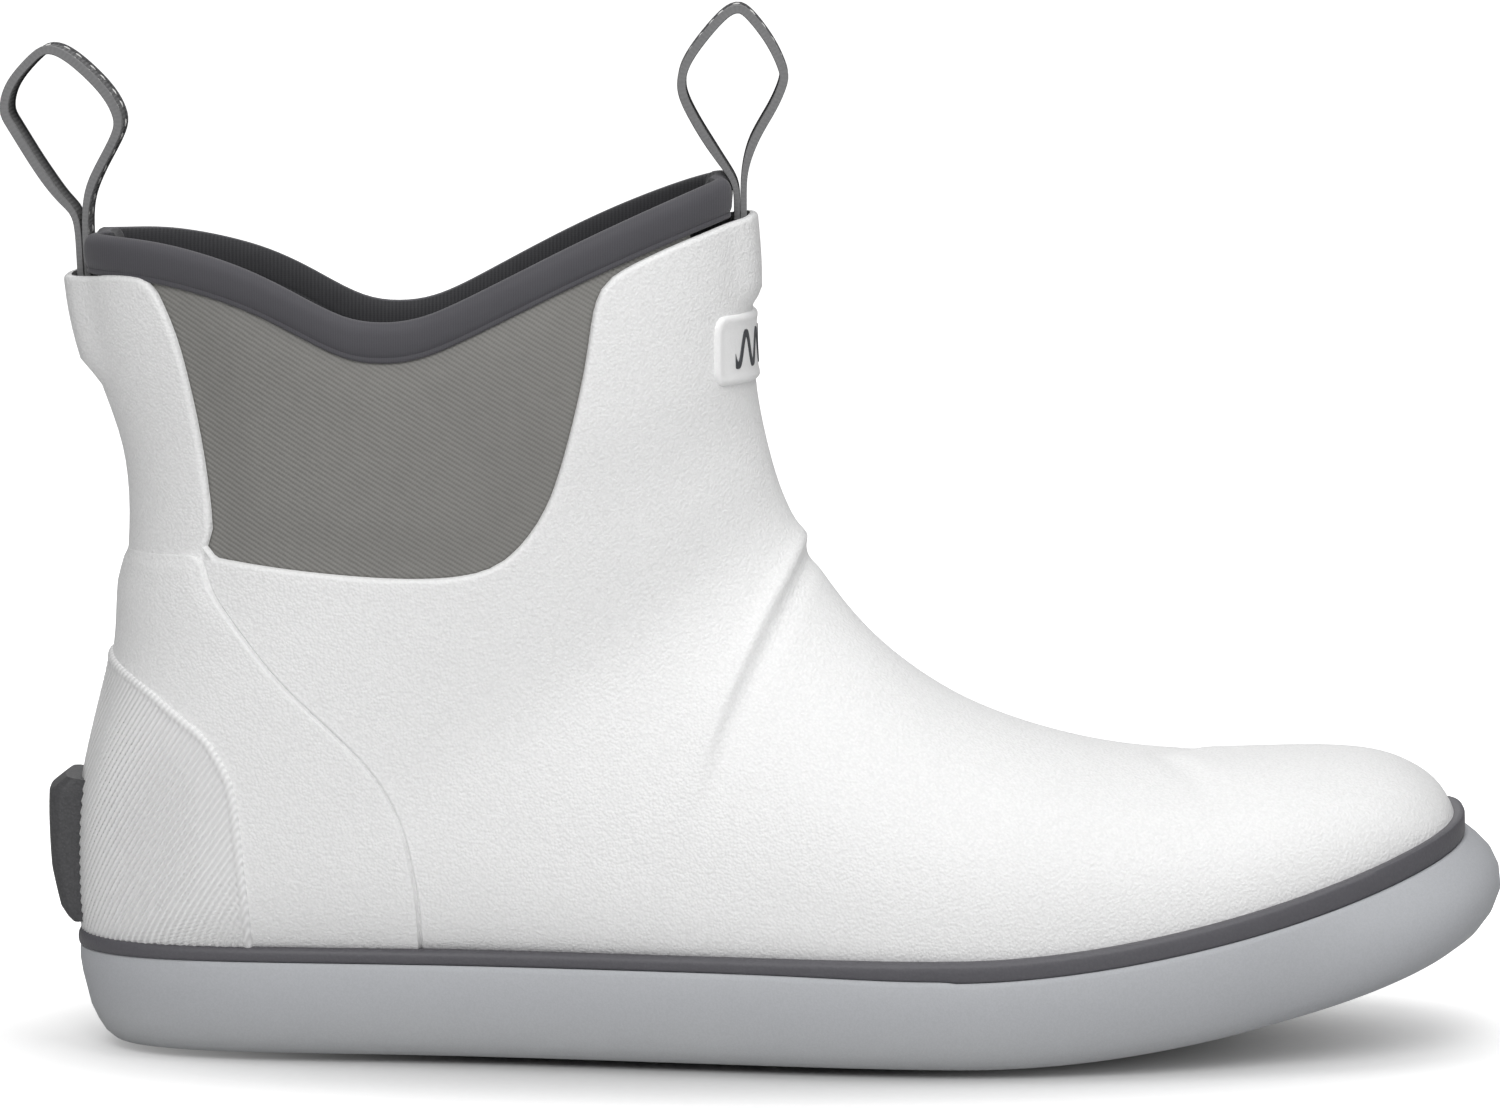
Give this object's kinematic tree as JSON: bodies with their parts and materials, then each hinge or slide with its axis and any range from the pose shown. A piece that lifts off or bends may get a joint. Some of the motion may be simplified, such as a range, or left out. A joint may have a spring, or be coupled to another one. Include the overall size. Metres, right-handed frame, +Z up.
{
  "type": "deck boot",
  "caption": "Slip-on ankle boot for a right foot: rubber shell, stretch side gussets, bound collar, webbing pull loops, cup sole with toe spring and a heel kick tab.",
  "frame": {"origin": "middle of the boot's box seen from above, on the floor", "axes": "+X from the heel to the toe, +Y to the inner side of the foot, +Z up; the outer side faces -Y"},
  "size_m": [0.3208, 0.1024, 0.2247],
  "materials": {
    "white_rubber": "fine pebble grain, matt",
    "badge_rubber": "smooth, satin",
    "sole_rubber": "matt blue grey",
    "tread_rubber": "matt, siped",
    "stripe_rubber": "satin",
    "charcoal_rubber": "matt",
    "midsole_foam": "foam",
    "board": "fibre board",
    "footbed_foam": "foam",
    "footbed_cloth": "brushed knit",
    "stiffener": "moulded sheet",
    "neoprene": "knit-faced foam rubber",
    "stretch_cloth": "fine twill stretch cloth",
    "binding_cloth": "smooth stretch binding",
    "webbing": "ribbed webbing"
  },
  "bodies": {
    "boot": {"shell": "white_rubber", "rear_quarter": "white_rubber", "heel_patch": "white_rubber", "badge": "badge_rubber", "outsole": "sole_rubber", "forefoot_tread": "tread_rubber", "heel_tread": "tread_rubber", "foxing_stripe": "stripe_rubber", "kick_tab": "charcoal_rubber", "midsole": "midsole_foam", "lasting_board": "board", "footbed_foam": "footbed_foam", "footbed_cover": "footbed_cloth", "toe_puff": "stiffener", "heel_counter": "stiffener", "bootie_liner": "neoprene", "outer_gusset": "stretch_cloth", "inner_gusset": "stretch_cloth", "collar_binding": "binding_cloth", "front_pull_loop_tail": "webbing", "rear_pull_loop_tail": "webbing"},
    "front_loop": {"front_pull_loop": "webbing"},
    "rear_loop": {"rear_pull_loop": "webbing"}
  },
  "joints": [
    {"name": "front_loop_bend", "type": "hinge", "parent": "boot", "child": "front_loop", "pos_m": [-0.00468, 0.00147, 0.18906], "axis": [0, 1, 0], "range_deg": [-60, 60], "stiffness_Nm_per_rad": 0.01},
    {"name": "rear_loop_bend", "type": "hinge", "parent": "boot", "child": "rear_loop", "pos_m": [-0.14424, 0.00147, 0.177], "axis": [0, 1, 0], "range_deg": [-60, 60], "stiffness_Nm_per_rad": 0.01}
  ]
}
